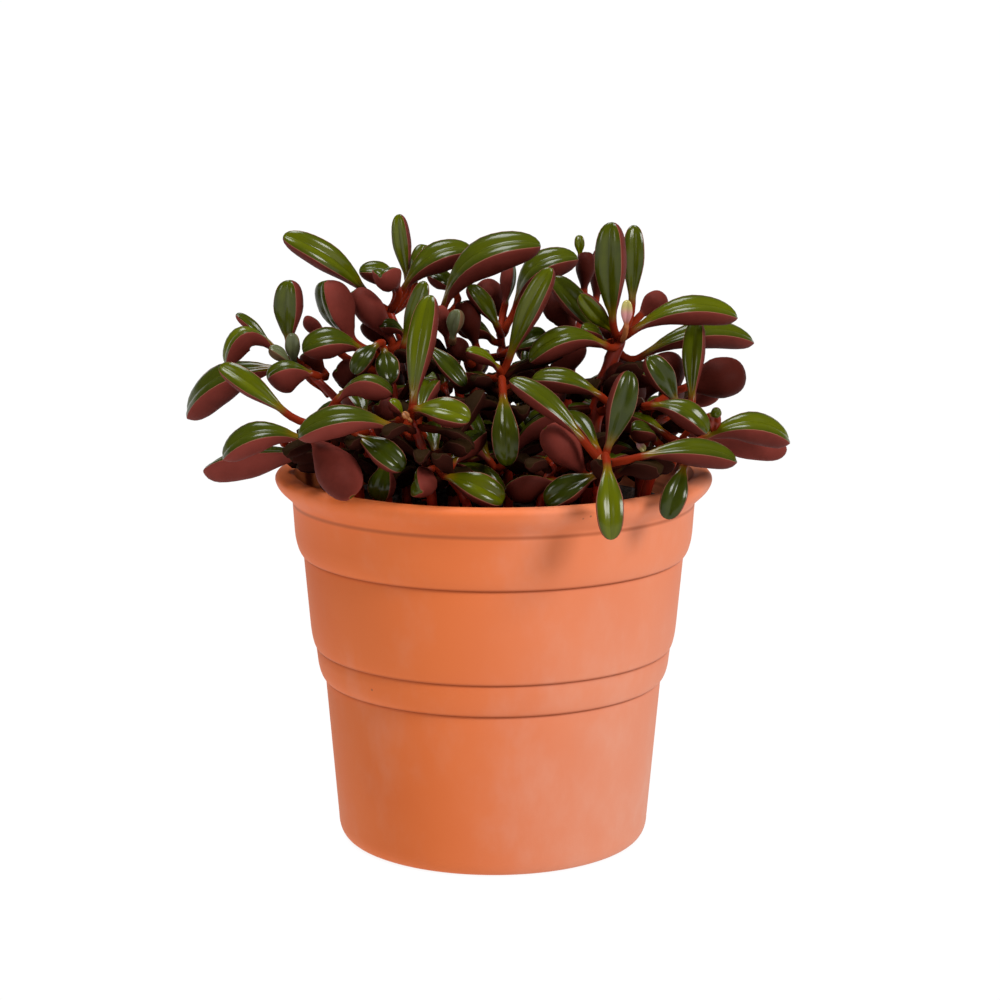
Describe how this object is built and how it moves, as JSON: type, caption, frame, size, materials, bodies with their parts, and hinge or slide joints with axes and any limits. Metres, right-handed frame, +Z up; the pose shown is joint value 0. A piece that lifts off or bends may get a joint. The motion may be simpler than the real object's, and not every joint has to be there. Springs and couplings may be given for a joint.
{
  "type": "potted peperomia",
  "caption": "Bushy red-backed peperomia with thick boat-shaped glossy leaves, growing in soil in a plain round terracotta-coloured pot with a rolled rim, a collar and stepped bands",
  "frame": {"origin": "the middle of the pot's flat underside, on the pot's own axis", "axes": "+Z up along the pot's axis, +X to the right and -Y towards the viewer, as in the front view"},
  "size_m": [0.1644, 0.1413, 0.1732],
  "materials": {
    "terracotta": "matte",
    "soil": "matte",
    "foliage": "gloss"
  },
  "bodies": {
    "root": {"pot": "terracotta", "potting_soil": "soil", "leafy_stem_back_inner_1": "foliage", "leafy_stem_back_inner_2": "foliage", "leafy_stem_back_inner_3": "foliage", "leafy_stem_back_inner_4": "foliage", "leafy_stem_back_outer_1": "foliage", "leafy_stem_back_outer_2": "foliage", "leafy_stem_back_outer_3": "foliage", "leafy_stem_back_outer_4": "foliage", "leafy_stem_back_outer_5": "foliage", "leafy_stem_back_outer_6": "foliage", "leafy_stem_back_outer_7": "foliage", "leafy_stem_front_left": "foliage", "leafy_stem_front_left_low": "foliage", "leafy_stem_front_low": "foliage", "leafy_stem_front_middle": "foliage", "leafy_stem_front_right": "foliage", "leafy_stem_inside_1": "foliage", "leafy_stem_inside_2": "foliage", "leafy_stem_inside_3": "foliage", "leafy_stem_left_high": "foliage", "leafy_stem_left_inner": "foliage", "leafy_stem_left_low": "foliage", "leafy_stem_left_outer": "foliage", "leafy_stem_middle": "foliage", "leafy_stem_middle_back": "foliage", "leafy_stem_middle_high": "foliage", "leafy_stem_right_back": "foliage", "leafy_stem_right_high": "foliage", "leafy_stem_right_low": "foliage", "leafy_stem_right_middle": "foliage"}
  },
  "joints": []
}
